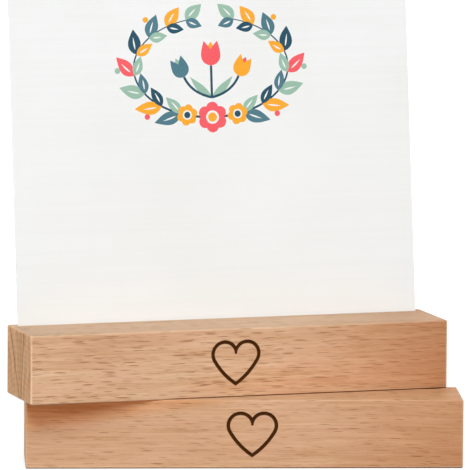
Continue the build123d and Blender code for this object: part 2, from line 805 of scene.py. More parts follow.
        start, end = (share * 2 * half - half for share in self.warm_shares)
        warm = nodes.ease(spot.along, start, end, 0.0, self.warm_strength)
        warm = warm * nodes.ramp(spot.level_face, 0.0, 1.0, 1.0, self.level_warmth)
        warm = (warm + spot.cloud.sway(self.cloud_weight)).clamped()
        deep_amber = nodes.mix(self.amber_fleck, self.amber, self.fleck)
        colour = nodes.mix(warm, colour, nodes.mix(tone, deep_amber, self.amber))
        strength = nodes.ramp(spot.along, -half, half, *self.fleck_strengths)
        for marks, kind in zip((spot.small, spot.thin, spot.large), self.fleck_kinds):
            colour = nodes.mix(strength * marks * kind.darkness, colour, self.fleck)
        calm = nodes.mix(warm, nodes.mix(self.calm_tone, self.deep, self.pale), self.amber)
        return nodes.mix(spot.level_face * self.level_calm, colour, calm)

    def end_colour(self, spot: WoodSpot, dark_lines: Value) -> Value:
        """The end grain: rays that spread from the pith, late wood and the dark lines.

        Args:
            spot: the shaded point.
            dark_lines: the strength of the dark lines.

        Returns:
            Its colour.
        """
        nodes = spot.nodes
        around, outward = self.ray_scale
        rays = nodes.noise(nodes.join(spot.angle * around, spot.reach * outward), self.ray, self.seed)
        tone = rays.sway(self.ray_weight) + self.ray_base + spot.speck.sway(self.speck_weight)
        tone = (tone + spot.late * self.end_late_weight).clamped()
        return nodes.mix(dark_lines, nodes.mix(tone, self.end_deep, self.end_pale), self.check)

    def relief(self, spot: WoodSpot, dark_lines: Value) -> Value:
        """The height of the surface: fibres and dents on the faces, specks and dark lines on the ends.

        Args:
            spot: the shaded point.
            dark_lines: the strength of the dark lines.

        Returns:
            The height, as a share of the relief's depth.
        """
        level = spot.fibre * self.fibre_height - spot.large * self.large_dent - spot.small * self.small_dent
        end = spot.speck * self.speck_height - dark_lines * self.check_dent
        return spot.nodes.ramp(spot.end_face, 0.0, 1.0, level, end)

    def material(self, name: str, block: HolderBlock) -> bpy.types.Material:
        """The finish of one block, with a pattern of its own.

        Args:
            name: the material's name.
            block: the block that it covers, whose sizes say where its ends, edges, slot and heart are.

        Returns:
            The material.
        """
        material, nodes = new_material(name)
        spot = WoodSpot(nodes, self, block)
        dark_lines = self.end_lines(spot)
        colour = nodes.mix(spot.end_face, self.face_colour(spot), self.end_colour(spot, dark_lines))
        # Painted shade and light on the level faces, for how the lamps light them
        colour = nodes.mix(spot.level_face, colour, self.level_painted_light, "MULTIPLY")
        # Pale eased edges: partly wear, partly a painted highlight
        colour = nodes.mix(self.wear_and_highlight.share(spot), colour, self.wear_and_highlight.colour)
        # The shelter paints shadow and shade on the front and the foot, then the cuts are coloured
        colour = self.cuts.tone(spot, self.shelter.tone(spot, colour))
        roughness = nodes.ramp(spot.fibre, *self.gloss_band, *self.roughness)
        normal = nodes.bump(self.relief_strength, self.relief_depth, self.relief(spot, dark_lines))
        nodes.finish_principled(colour, roughness, self.specular, normal)
        return material


@dataclass(frozen=True)
class CharFinish:
    """Wood burnt dark brown, a little sooty in its bed."""

    soot: Colour = tint(56, 27, 2)
    scorch: Colour = tint(82, 44, 5)
    patch: Noise = Noise((1.1, 0.5, 0.5), 3.0, 3.0, 0.6)
    patch_band: Pair = (0.35, 0.7)
    crumb: Noise = Noise((0.16, 0.16, 0.16), 7.0, 2.0, 0.6)
    crumb_band: Pair = (0.45, 0.7)
    crumb_share: float = 0.35
    crumb_depth: float = 0.03
    crumb_strength: float = 0.6
    roughness: float = 0.78
    specular: float = 0.08

    def material(self, name: str) -> bpy.types.Material:
        """The finish of a burnt line: soot and scorched wood in fine patches, with a crumbly relief.

        Args:
            name: the material's name.

        Returns:
            The material.
        """
        material, nodes = new_material(name)
        place = nodes.own_place(OBJECT_FRAME)
        crumb = nodes.noise(place, self.crumb)
        patch = nodes.ramp(nodes.noise(place, self.patch), *self.patch_band)
        colour = nodes.mix(patch, self.soot, self.scorch)
        colour = nodes.mix(nodes.ramp(crumb, *self.crumb_band, 0.0, self.crumb_share), colour, self.scorch)
        normal = nodes.bump(self.crumb_strength, self.crumb_depth, crumb)
        nodes.finish_principled(colour, self.roughness, self.specular, normal)
        return material


@dataclass(frozen=True)
class CardFinish:
    """One kind of surface of the printed card: its colour, its gloss and how much its fibres show.

    Between the heights of foot_shade_rise it takes on the tone foot towards its foot: a painted cool shade
    that cancels the warm light bounced onto the card's foot.
    """

    colour: Colour
    shade: Colour
    roughness: float
    fibre_depth: float
    fibre_size: float = 0.5
    foot: Colour = WHITE
    foot_shade_rise: Pair = (45.0, 95.0)
    cloud: Noise = Noise((42.0, 42.0, 30.0), 5.0)
    streak: Noise = Noise((90.0, 90.0, 1.3), 11.0, 2.0, 0.6)
    fibre: Noise = Noise((1.0, 1.0, 1.0), 8.0, 3.0, 0.6)
    fibre_weight: float = 0.5
    streak_weight: float = 0.55
    shade_band: Pair = (0.3, 0.75)
    gloss_band: Pair = (0.3, 0.7)
    roughness_spread: Pair = (-0.02, 0.03)
    specular: float = 0.2
    fibre_strength: float = 0.3

    def material(self, name: str) -> bpy.types.Material:
        """Paper or ink: two close colours in slow clouds, fine fibres and faint level streaks.

        Args:
            name: the material's name.

        Returns:
            The material.
        """
        material, nodes = new_material(name)
        place = nodes.own_place(OBJECT_FRAME)
        fibre = nodes.noise(place, replace(self.fibre, periods=(self.fibre_size,) * 3))
        share = nodes.noise(place, self.cloud) + fibre.sway(self.fibre_weight)
        share = share + nodes.noise(place, self.streak).sway(self.streak_weight)
        colour = nodes.mix(nodes.ramp(share, *self.shade_band), self.colour, self.shade)
        # Painted shade towards the foot: a cool tint that cancels the warm light bounced onto it
        foot = nodes.ease(nodes.split(place)[2], *reversed(self.foot_shade_rise))
        colour = nodes.mix(foot, colour, self.foot, "MULTIPLY")
        spread = (self.roughness + change for change in self.roughness_spread)
        roughness = nodes.ramp(fibre, *self.gloss_band, *spread)
        normal = nodes.bump(self.fibre_strength, self.fibre_depth, fibre)
        nodes.finish_principled(colour, roughness, self.specular, normal)
        return material


class Ink(Enum):
    """The card's surfaces: bare coated paper and the five inks of its design, then its rim and its back."""

    # The paper's foot carries a painted cool shade against the warm bounced light
    PAPER = CardFinish(tint(244, 245, 244), tint(240, 241, 239), 0.38, 0.004, foot=(0.96, 1.0, 1.02, 1.0))
    NAVY = CardFinish(tint(30, 80, 100), tint(26, 72, 92), 0.42, 0.006)
    SLATE = CardFinish(tint(80, 126, 140), tint(74, 118, 132), 0.42, 0.006)
    MUSTARD = CardFinish(tint(253, 176, 56), tint(250, 170, 46), 0.42, 0.006)
    CORAL = CardFinish(tint(250, 100, 108), tint(246, 92, 100), 0.42, 0.006)
    SAGE = CardFinish(tint(158, 194, 174), tint(150, 188, 168), 0.42, 0.006)
    RIM = CardFinish(tint(250, 249, 246), tint(240, 238, 234), 0.85, 0.03, 0.25)
    BACK = CardFinish(tint(246, 245, 242), tint(239, 237, 232), 0.7, 0.012, 0.35)


@dataclass(frozen=True)
class HeartLine:
    """A heart drawn as one burnt line, symmetrical about its upright middle.

    Each half is the arc of a round lobe, then the gentler arc of a flank down to the point. Sizes are taken
    on the middle of the line, and angles in degrees.
    """

    width: float = 17.35
    height: float = 15.3
    cleft_angle: float = 18.3
    flank_angle: float = 30.0
    line_width: float = 1.15
    line_depth: float = 0.35
    seat_gap: float = 0.006
    rim_drop: float = 0.02
    ripple: float = 0.012
    ripple_period: float = 0.55
    floor_cover: float = 0.05
    step: float = 0.13
    across_count: int = 13
    corner_count: int = 7

    def lobe(self) -> Triple:
        """The lobe's circle: how far its middle is to the side and above the point, and its radius."""
        radius = self.width / 2 / (1 + math.cos(math.radians(self.cleft_angle)))
        return self.width / 2 - radius, self.height - radius, radius

    def flank(self) -> Triple:
        """The flank's circle, which touches the lobe's where they meet and runs through the point.

        Returns:
            How far its middle is to the side and above the point, and its radius.
        """
        x, z, radius = self.lobe()
        angle = math.radians(self.flank_angle)
        out = np.array((math.cos(angle), -math.sin(angle)))
        start = np.array((x, z)) + radius * out
        reach = float(start @ start) / (2 * float(out @ start))
        middle = start - reach * out
        return float(middle[0]), float(middle[1]), reach

    def half(self, offsets: np.ndarray) -> np.ndarray:
        """The right half of the line, from the cleft to the point, set out by each offset.

        A curve that is set out by h is a circle's arc of radius r + h. At the cleft a line set in turns
        round the corner, and one set out ends where it meets the middle, x = 0. At the point it is the
        other way.

        Args:
            offsets: the distances to set the line out by, less than 0 for in.

        Returns:
            An array of (x, z) by station along the line and by offset.
        """
        lx, lz, lr = self.lobe()
        fx, fz, fr = self.flank()
        cleft, flank = math.radians(self.cleft_angle), math.radians(self.flank_angle)
        corner_z = lz + lr * math.sin(cleft)
        h = offsets[None, :]
        fan = np.linspace(0.0, 1.0, self.corner_count)[:, None]
        inward, outward = np.minimum(h, 0.0), np.maximum(h, 0.0)

        turn = -math.pi / 2 + (math.pi / 2 - cleft) * fan
        meets = np.arccos(np.clip(-lx / (lr + outward), -1.0, 1.0))
        valley = lz + (lr + outward) * np.sin(meets)
        cleft_x = np.where(h < 0, -inward * np.cos(turn), 0.0)
        cleft_z = np.where(h < 0, corner_z - inward * np.sin(turn), valley)

        share = np.linspace(0.0, 1.0, int(lr * (math.pi + flank) / self.step))[:, None]
        start = np.where(h < 0, math.pi - cleft, meets)
        turn = start - (flank + start) * share
        lobe_x, lobe_z = lx + (lr + h) * np.cos(turn), lz + (lr + h) * np.sin(turn)

        point_turn = -math.acos(-fx / fr)
        ends = np.where(h > 0, point_turn, -np.arccos(-fx / (fr + inward)))
        share = np.linspace(0.0, 1.0, int(fr * (-flank - point_turn) / self.step))[:, None]
        turn = -flank + (ends + flank) * share
        flank_x, flank_z = fx + (fr + h) * np.cos(turn), fz + (fr + h) * np.sin(turn)

        turn = point_turn + (-math.pi / 2 - point_turn) * fan
        notch = fz + (fr + inward) * np.sin(ends)
        tip_x = np.where(h > 0, outward * np.cos(turn), 0.0)
        tip_z = np.where(h > 0, outward * np.sin(turn), notch)
        x = np.concatenate((cleft_x, lobe_x, flank_x, tip_x))
        z = np.concatenate((cleft_z, lobe_z, flank_z, tip_z))
        return np.stack((x, z), axis=-1)

    def solid(self) -> tuple[np.ndarray, np.ndarray]:
        """The burnt skin of the line's groove, as a closed ring.

        Its section has a hollow top, whose depth falls with the fourth power of the distance from the
        middle, and the groove's square walls and floor below. Fine ripples run along the hollow.

        Returns:
            Points (x, depth, z), with z above the heart's point, and the faces that join them.
        """
        half = self.line_width / 2 - self.seat_gap
        floor = self.line_depth - self.seat_gap
        across = np.linspace(-1.0, 1.0, self.across_count)
        hollow = self.rim_drop + (floor - self.floor_cover - self.rim_drop) * (1 - across**4)
        offsets = np.concatenate((across * half, (half, -half)))
        depths = np.concatenate((hollow, (floor, floor)))
        right = self.half(offsets)
        left = right[::-1] * np.array((-1.0, 1.0))
        ring = np.concatenate((right, left))
        stations, sections = ring.shape[:2]
        ripple = np.sin(np.arange(stations) * self.step / self.ripple_period * 2 * math.pi)
        calm = np.concatenate((1 - across**2, (0.0, 0.0)))
        depth = depths[None, :] + self.ripple * ripple[:, None] * calm[None, :]
        points = np.stack((ring[..., 0], depth, ring[..., 1]), axis=-1).reshape(-1, 3)
        numbers = np.arange(stations * sections).reshape(stations, sections)
        ahead, beside = np.roll(numbers, -1, axis=0), np.roll(numbers, -1, axis=1)
        corners = (numbers, ahead, np.roll(ahead, -1, axis=1), beside)
        return points, np.stack(corners, axis=-1).reshape(-1, 4)


@dataclass
class HolderBlock:
    """One beech block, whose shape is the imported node, and the burnt line of its heart."""

    node: str
    body: str
    slot: str
    turn: float
    heart_shift: float
    finish: BeechFinish
    char: CharFinish = CharFinish()
    heart: HeartLine = field(default_factory=HeartLine)
    edge_ease: float = 0.6
    sharp_angle: float = 40.0
    placement: Placement = field(init=False)
    length: float = field(init=False)
    depth: float = field(init=False)
    height: float = field(init=False)

    def __post_init__(self) -> None:
        """Reads the block's place and size from the frame: its box has the block's own middle."""
        low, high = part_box(self.node)
        middle = (low + high) / 2
        self.placement = Placement((middle.x / MM, middle.y / MM, low.z / MM), self.turn)
        own = self.placement.from_frame(node_points(bpy.data.objects[self.node]))
        self.length, self.depth, self.height = (float(size) for size in np.ptp(own, axis=0))

    def dress(self) -> None:
        """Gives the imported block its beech."""
        block = bpy.data.objects[self.node]
        material = self.finish.material(self.slot, self)
        block.data.materials.clear()
        block.data.materials.append(material)
        LOG.info("%s: %.1f by %.1f by %.1f mm", self.node, self.length, self.depth, self.height)

    def burn_heart(self) -> bpy.types.Object:
        """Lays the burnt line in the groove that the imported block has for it.

        Returns:
            The new piece, which rides with the block.
        """
        points, faces = self.heart.solid()
        point_z = (self.height - self.heart.height) / 2
        own = points + np.array((self.heart_shift, -self.depth / 2, point_z))
        name = self.node.replace("block", "heart_line")
        piece = new_piece(name, self.placement.to_frame(own), faces)
        piece.data.shade_smooth()
        piece.data.set_sharp_from_angle(angle=math.radians(self.sharp_angle))
        piece.data.materials.append(self.char.material("burnt_" + self.node))
        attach(piece, self.body)
        LOG.info("%s: %d faces", name, len(piece.data.polygons))
        return piece


@dataclass(frozen=True)
class Shape:
    """One closed outline of the printed design, (x, y) from the design's middle, and its ink."""

    outline: np.ndarray
    ink: Ink

    def mirrored(self) -> Shape:
        """The same shape on the other side of the upright middle."""
        return Shape(self.outline * np.array((-1.0, 1.0)), self.ink)


def blade(
    root: np.ndarray, way: float, length: float, width: float, ink: Ink, bend: float = 0.0, count: int = 12
) -> Shape:
    """A pointed leaf or petal.

    Its half width at a share t of its length is width / 2 * sin(pi * t ** 0.8), so its widest place is
    nearer the root, and its middle line bends sideways by bend * length * t squared.

    Args:
        root: where it starts, (x, y).
        way: the angle in which it points, in radians from +x.
        length: from the root to the tip.
        width: at its widest.
        ink: its colour.
        bend: how far its tip is bent to the left, as a share of its length.
        count: the number of its points on each side, from the root to the tip.

    Returns:
        The shape.
    """
    share = np.linspace(0.0, 1.0, count)
    half = width / 2 * np.sin(math.pi * share**0.8)
    middle = bend * length * share**2
    ahead = np.concatenate((share, share[-2:0:-1])) * length
    side = np.concatenate((middle + half, (middle - half)[-2:0:-1]))
    along, left = np.array((math.cos(way), math.sin(way))), np.array((-math.sin(way), math.cos(way)))
    return Shape(root + ahead[:, None] * along + side[:, None] * left, ink)


def disc(middle: np.ndarray, radius: float, ink: Ink, count: int = 20) -> Shape:
    """A round dot of a radius, as a ring of count points."""
    turn = np.linspace(0.0, 2 * math.pi, count, endpoint=False)
    return Shape(middle + radius * np.column_stack((np.cos(turn), np.sin(turn))), ink)


def band(line: np.ndarray, first_width: float, last_width: float, ink: Ink) -> Shape:
    """A stroke along a line, whose width changes evenly from its start to its end.

    Args:
        line: the middle of the stroke, as (x, y) rows.
        first_width: its width at the start.
        last_width: its width at the end.
        ink: its colour.

    Returns:
        The shape.
    """
    ahead = np.gradient(line, axis=0)
    ahead /= np.linalg.norm(ahead, axis=1)[:, None]
    half = np.linspace(first_width, last_width, len(line))[:, None] / 2
    side = np.column_stack((-ahead[:, 1], ahead[:, 0])) * half
    return Shape(np.concatenate((line + side, (line - side)[::-1])), ink)


@dataclass(frozen=True)
class WreathDesign:
    """A plain oval wreath of leaves and berries round three tulips, with blossoms at its foot.

    The wreath is open at the top. Its stem runs up both sides of an ellipse, and leaves grow in pairs from
    nodes that are evenly spaced along it and get a little shorter towards its ends. Shares, bends and the
    places of petals and small blossoms are taken of the size of the leaf or flower that they belong to.
    Angles are in degrees, but small_blossom_turn is in radians.
    """

    half_width: float = 29.5
    half_height: float = 18.2
    bottom_angle: float = -66.0
    top_angle: float = 72.0
    stem_width: float = 0.9
    stem_end_share: float = 0.4
    stem_points: int = 60
    measure_points: int = 400

    node_count: int = 8
    leaf_length: float = 10.6
    leaf_width: float = 4.9
    leaf_spread: float = 38.0
    leaf_bend: float = 0.1
    leaf_loss: float = 0.25
    inner_share: float = 0.78
    vein_width: float = 0.6
    vein_start: float = 0.2
    vein_share: float = 0.5
    vein_bend: float = 0.06
    berry_radius: float = 1.05
    berry_reach: float = 5.9
    berry_ahead: float = 3.2

    blossom_radius: float = 5.6
    petal_count: int = 6
    petal_place: float = 0.58
    petal_share: float = 0.42
    bare_share: float = 0.44
    heart_share: float = 0.3
    small_blossom_share: float = 0.7
    small_blossom_place: float = 1.72
    small_blossom_rise: float = 1.0
    small_blossom_turn: float = 0.3

    tulip_length: float = 9.2
    tulip_width: float = 4.6
    tulip_spread: float = 27.0
    tulip_bend: float = 0.2
    middle_petal_share: float = 0.95
    stalk_foot: float = -11.0
    stalk_points: int = 16
    middle_cup: Pair = (0.0, 0.6)
    side_cup: Pair = (10.4, -3.4)
    side_tilt: float = 24.0
    side_share: float = 0.86
    foot_leaf_shares: Pair = (1.2, 0.62)
    foot_leaf_bend: float = 0.16
    foot_leaf_tilt: float = 56.0

    leaf_inks: tuple[Ink, ...] = (Ink.SLATE, Ink.MUSTARD, Ink.SAGE, Ink.CORAL, Ink.NAVY)
    inner_inks: tuple[Ink, ...] = (Ink.SAGE, Ink.NAVY, Ink.SLATE, Ink.SAGE, Ink.MUSTARD)
    berry_inks: tuple[Ink, ...] = (Ink.CORAL, Ink.SAGE, Ink.MUSTARD)

    def on_stem(self, angle: np.ndarray) -> np.ndarray:
        """Points on the ellipse at angles in radians, as (x, y) rows."""
        return np.column_stack((self.half_width * np.cos(angle), self.half_height * np.sin(angle)))

    def stations(self) -> tuple[np.ndarray, np.ndarray]:
        """The leaf nodes of the right side, evenly spaced along the stem from the bottom up.

        Returns:
            The nodes' points and the angles of the stem there, in radians from +x.
        """
        fine = np.radians(np.linspace(self.bottom_angle, self.top_angle, self.measure_points))
        line = self.on_stem(fine)
        run = np.concatenate(((0.0,), np.cumsum(np.hypot(*np.diff(line, axis=0).T))))
        angles = np.interp(np.linspace(0.0, run[-1], self.node_count), run, fine)
        ways = np.arctan2(self.half_height * np.cos(angles), -self.half_width * np.sin(angles))
        return self.on_stem(angles), ways

    def sprays(self) -> list[Shape]:
        """Draws the right side: the stem, leaves with bare veins, and a berry beyond every other pair.

        Returns:
            The shapes, from the back to the front.
        """
        line = self.on_stem(np.radians(np.linspace(-90.0, self.top_angle, self.stem_points)))
        shapes = [band(line, self.stem_width, self.stem_width * self.stem_end_share, Ink.NAVY)]
        spread = math.radians(self.leaf_spread)
        for number, (root, way) in enumerate(zip(*self.stations())):
            ahead, out = np.array((math.cos(way), math.sin(way))), np.array((math.sin(way), -math.cos(way)))
            length = self.leaf_length * (1 - self.leaf_loss * number / self.node_count)
            outer = self.leaf_inks[number % len(self.leaf_inks)]
            inner = self.inner_inks[number % len(self.inner_inks)]
            for side, ink, share in ((-1, outer, 1.0), (1, inner, self.inner_share)):
                turned, size = way + side * spread, length * share
                bend, vein_bend = -self.leaf_bend * side, -self.vein_bend * side
                shapes.append(blade(root, turned, size, self.leaf_width * share, ink, bend))
                vein_root = root + self.vein_start * size * np.array((math.cos(turned), math.sin(turned)))
                vein = (vein_root, turned, size * self.vein_share, self.vein_width)
                shapes.append(blade(*vein, Ink.PAPER, vein_bend))
            if number % 2 and number + 1 < self.node_count:
                berry = root + self.berry_ahead * ahead + self.berry_reach * out
                ink = self.berry_inks[number // 2 % len(self.berry_inks)]
                shapes.append(disc(berry, self.berry_radius, ink))
        return shapes

    def blossom(self, middle: Pair, radius: float, petals: Ink, heart: Ink, turn: float) -> list[Shape]:
        """A flower of round petals about a dot, with a bare ring between them.

        Args:
            middle: where it is, (x, y).
            radius: from its middle to the petals' tips.
            petals: the petals' ink.
            heart: the dot's ink.
            turn: the angle of its first petal, in radians from +x.

        Returns:
            The petals, the bare disc on them and the dot on that.
        """
        centre = np.array(middle)
        ways = turn + np.arange(self.petal_count) * 2 * math.pi / self.petal_count
        rows = np.column_stack((np.cos(ways), np.sin(ways))) * self.petal_place * radius
        shapes = [disc(centre + row, self.petal_share * radius, petals) for row in rows]
        bare, dot = self.bare_share * radius, self.heart_share * radius
        return [*shapes, disc(centre, bare, Ink.PAPER), disc(centre, dot, heart)]

    def tulip(self, cup: Pair, way: float, share: float, petals: Ink, middle: Ink) -> list[Shape]:
        """A tulip on its stalk: two outer petals that bend together in front of a middle one.

        Args:
            cup: the foot of the petals.
            way: where the flower points, in degrees from +x.
            share: its size, as a share of the middle tulip's.
            petals: the outer petals' ink.
            middle: the middle petal's ink.

        Returns:
            The stalk and the petals.
        """
        foot, top = np.array((0.0, self.stalk_foot)), np.array(cup)
        heading = np.array((math.cos(math.radians(way)), math.sin(math.radians(way))))
        elbow = top - heading * np.linalg.norm(top - foot) / 2
        run = np.linspace(0.0, 1.0, self.stalk_points)[:, None]
        stalk = (1 - run) ** 2 * foot + 2 * run * (1 - run) * elbow + run**2 * top
        shapes = [band(stalk, self.stem_width, self.stem_width, Ink.NAVY)]
        length, width = self.tulip_length * share, self.tulip_width * share
        shapes.append(blade(top, math.radians(way), length * self.middle_petal_share, width, middle))
        for side in (-1, 1):
            turned = math.radians(way + side * self.tulip_spread)
            shapes.append(blade(top, turned, length, width, petals, -self.tulip_bend * side))
        return shapes

    def shapes(self) -> list[Shape]:
        """Draws the whole design.

        Returns:
            Every shape, where a later one covers an earlier one.
        """
        side = self.sprays()
        found = [*side, *(shape.mirrored() for shape in side)]
        foot = np.array((0.0, self.stalk_foot))
        for way in (-1, 1):
            leaf_way = math.pi / 2 - way * math.radians(self.foot_leaf_tilt)
            long_share, wide_share = self.foot_leaf_shares
            size = (long_share * self.tulip_length, wide_share * self.tulip_width)
            found.append(blade(foot, leaf_way, *size, Ink.SAGE, self.foot_leaf_bend * way))
            petals, middle = (Ink.MUSTARD, Ink.CORAL) if way > 0 else (Ink.SLATE, Ink.SAGE)
            side_x, side_y = self.side_cup
            tilt = 90.0 - way * self.side_tilt
            found += self.tulip((way * side_x, side_y), tilt, self.side_share, petals, middle)
        found += self.tulip(self.middle_cup, 90.0, 1.0, Ink.CORAL, Ink.MUSTARD)
        low = -self.half_height
        for way in (-1, 1):
            place = (way * self.small_blossom_place * self.blossom_radius, low + self.small_blossom_rise)
            radius = self.small_blossom_share * self.blossom_radius
            found += self.blossom(place, radius, Ink.MUSTARD, Ink.NAVY, self.small_blossom_turn)
        found += self.blossom((0.0, low), self.blossom_radius, Ink.CORAL, Ink.MUSTARD, math.pi / 2)
        return found


def inside(points: np.ndarray, outline: np.ndarray) -> np.ndarray:
    """Which points lie in a closed outline: those that an odd number of its edges cross to the right of.

    Args:
        points: (x, y) rows.
        outline: the outline's (x, y) rows, in order.

    Returns:
        True or False for each point.
    """
    x, y = points[:, 0:1], points[:, 1:2]
    first, second = outline, np.roll(outline, -1, axis=0)
    spans = (first[:, 1] > y) != (second[:, 1] > y)
    rise = np.where(second[:, 1] == first[:, 1], 1.0, second[:, 1] - first[:, 1])
    crossing = first[:, 0] + (y - first[:, 1]) / rise * (second[:, 0] - first[:, 0])
    return (spans & (x < crossing)).sum(axis=1) % 2 == 1


@dataclass
class PrintCard:
    """The card that stands in the upper slot: coated and printed in front, plain behind, with a cut rim."""

    node: str
    body: str
    slot: str
    turn: float
    lean: float
    foot: Triple
    design: WreathDesign = field(default_factory=WreathDesign)
    corner_radius: float = 0.4
    edge_round: float = 0.12
    corner_count: int = 6
    round_count: int = 4
    cut_reach: float = 1e-5
    placement: Placement = field(init=False)
    width: float = field(init=False)
    thickness: float = field(init=False)
    height: float = field(init=False)

    def __post_init__(self) -> None:
        """Reads the card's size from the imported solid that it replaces."""
        self.placement = Placement(self.foot, self.turn, self.lean)
        own = self.placement.from_frame(node_points(bpy.data.objects[self.node]))
        self.width, self.thickness, self.height = (float(size) for size in np.ptp(own, axis=0))

    def outline(self, inset: float) -> np.ndarray:
        """The card's outline: straight sides joined by quarter circles.

        Args:
            inset: how far it is set in on all sides.

        Returns:
            The outline's (x, z) rows, in order.
        """
        radius = self.corner_radius - inset
        turn = np.linspace(0.0, math.pi / 2, self.corner_count)
        quarter = radius * np.column_stack((np.cos(turn), np.sin(turn)))
        side = self.width / 2 - self.corner_radius
        low, high = self.corner_radius, self.height - self.corner_radius
        corners = []
        for number, (x, z) in enumerate(((side, high), (-side, high), (-side, low), (side, low))):
            spin = number * math.pi / 2
            rows = ((math.cos(spin), math.sin(spin)), (-math.sin(spin), math.cos(spin)))
            corners.append(quarter @ np.array(rows) + np.array((x, z)))
        return np.concatenate(corners)

    def rim(self) -> list[Pair]:
        """The rim's section: a quarter circle, a straight cut and another quarter circle.

        Returns:
            Pairs of the inset and the place through the card, from front to back.
        """
        turn = np.linspace(0.0, math.pi / 2, self.round_count + 1)
        inset = self.edge_round * (1 - np.sin(turn))
        through = self.thickness / 2 - self.edge_round * (1 - np.cos(turn))
        front = list(zip(inset, -through))
        back = [(a, -b) for a, b in reversed(front)]
        return front + back

    def printed_face(self, outline: np.ndarray) -> tuple[np.ndarray, np.ndarray, np.ndarray]:
        """Cuts the front face along the design's outlines.

        The outlines are edges of a constrained Delaunay triangulation, and each triangle takes the ink of
        the last shape that its middle lies in.

        Args:
            outline: the face's own outline, as (x, z) rows.

        Returns:
            The points as (x, z) rows, the triangles and the number of each one's ink.
        """
        middle = np.array((0.0, self.height / 2))
        shapes = self.design.shapes()
        loops = [outline, *(shape.outline + middle for shape in shapes)]
        points, edges, first = [], [], 0
        for loop in loops:
            numbers = first + np.arange(len(loop))
            points.append(loop)
            edges.append(np.column_stack((numbers, np.roll(numbers, -1))))
            first += len(loop)
        flat = [Vector(point) for point in np.concatenate(points).tolist()]
        joined = [tuple(edge) for edge in np.concatenate(edges).tolist()]
        found = delaunay_2d_cdt(flat, joined, [], 0, self.cut_reach)
        placed = np.array([tuple(point) for point in found[0]])
        triangles = np.array(found[2])
        centres = placed[triangles].mean(axis=1)
        inks = np.zeros(len(triangles), int)
        numbers = {ink: number for number, ink in enumerate(Ink)}
        for shape in shapes:
            inks[inside(centres, shape.outline + middle)] = numbers[shape.ink]
        return placed, triangles, inks

    def build(self) -> bpy.types.Object:
        """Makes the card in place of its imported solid.

        Returns:
            The new piece, which rides with the print's body.
        """
        section = self.rim()
        loops = [self.outline(inset) for inset, _ in section]
        count = len(loops[0])
        face, triangles, inks = self.printed_face(loops[0])
        front_y = section[0][1]
        points = [np.column_stack((face[:, 0], np.full(len(face), front_y), face[:, 1]))]
        for loop, (_, y) in zip(loops, section):
            points.append(np.column_stack((loop[:, 0], np.full(count, y), loop[:, 1])))
        first = len(face) + np.arange(len(section))[:, None] * count + np.arange(count)[None, :]
        after = np.roll(first, -1, axis=1)
        rim = np.stack((first[:-1], after[:-1], after[1:], first[1:]), axis=-1).reshape(-1, 4)
        faces = [*triangles, *rim, first[-1]]
        names = list(Ink)
        marks = np.concatenate((inks, np.full(len(rim), names.index(Ink.RIM)), (names.index(Ink.BACK),)))
        piece = new_piece("print_card", self.placement.to_frame(np.concatenate(points)), faces, marks)
        mesh = piece.data
        kept = np.zeros(len(mesh.polygons), np.int32)
        mesh.polygons.foreach_get("material_index", kept)
        mesh.polygons.foreach_set("use_smooth", kept == names.index(Ink.RIM))
        for ink in names:
            mesh.materials.append(ink.value.material("card_" + ink.name.lower()))
        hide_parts(self.node)
        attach(piece, self.body)
        sizes = (self.width, self.height, self.thickness, len(mesh.polygons))
        LOG.info("print_card: %.1f by %.1f by %.2f mm, %d faces", *sizes)
        return piece


@dataclass(frozen=True)
class Lamp:
    """A square soft light that shines on the object from a side and a height, both in degrees.

    Side 0 is in front of the object and 90 to its right. Glossy surfaces show it only if it is mirrored.
    """

    name: str
    side: float
    height: float
    distance: float
    size: float
    power: float
    colour: Triple = (1.0, 1.0, 1.0)
    mirrored: bool = False

    def hang(self, target: Vector) -> None:
        """Adds the lamp.

        Args:
            target: the point that it is turned to.
        """
        data = bpy.data.lights.new(self.name, "AREA")
        data.shape, data.size = "SQUARE", self.size
        data.energy, data.color = self.power, self.colour
        side, height = math.radians(self.side), math.radians(self.height)
        flat = math.cos(height)
        way = Vector((math.sin(side) * flat, -math.cos(side) * flat, math.sin(height)))
        lamp = bpy.data.objects.new(self.name, data)
        lamp.location = target + way * self.distance
        lamp.rotation_euler = way.to_track_quat("Z", "Y").to_euler()
        lamp.visible_camera, lamp.visible_glossy = False, self.mirrored
        bpy.context.scene.collection.objects.link(lamp)


@dataclass(frozen=True)
class Viewpoint:
    """The photograph's camera, which looks at the aim from a distance.

    Angles are in degrees: azimuth to the right of +Y, fall below the horizon, and roll, where more than 0
    lowers the right side of the picture. sight is how far it sees, in metres.
    """

    aim: Triple = (-3.25, 0.0, 82.93)
    azimuth: float = 2.88
    fall: float = 7.319
    roll: float = 0.387
    distance: float = 2400.0
    focal_pixels: float = 6642.0
    picture_pixels: float = 470.0
    sensor_width: float = 36.0
    sight: float = 100.0

    def place(self) -> None:
        """Adds the camera and makes it the scene's own."""
        azimuth, fall, roll = (math.radians(angle) for angle in (self.azimuth, self.fall, self.roll))
        flat = math.cos(fall)
        look = Vector((math.sin(azimuth) * flat, math.cos(azimuth) * flat, -math.sin(fall)))
        level = Vector((math.cos(azimuth), -math.sin(azimuth), 0.0))
        above = level.cross(look)
        right = level * math.cos(roll) + above * math.sin(roll)
        up = above * math.cos(roll) - level * math.sin(roll)
        data = bpy.data.cameras.new("camera")
        data.sensor_width = self.sensor_width
        data.lens = self.focal_pixels / self.picture_pixels * self.sensor_width
        data.clip_end = self.sight
        camera = bpy.data.objects.new("camera", data)
        spot = (Vector(self.aim) - look * self.distance) * MM
        turn = Matrix((right, up, -look)).transposed()
        camera.matrix_world = Matrix.Translation(spot) @ turn.to_4x4()
        bpy.context.scene.collection.objects.link(camera)
        bpy.context.scene.camera = camera


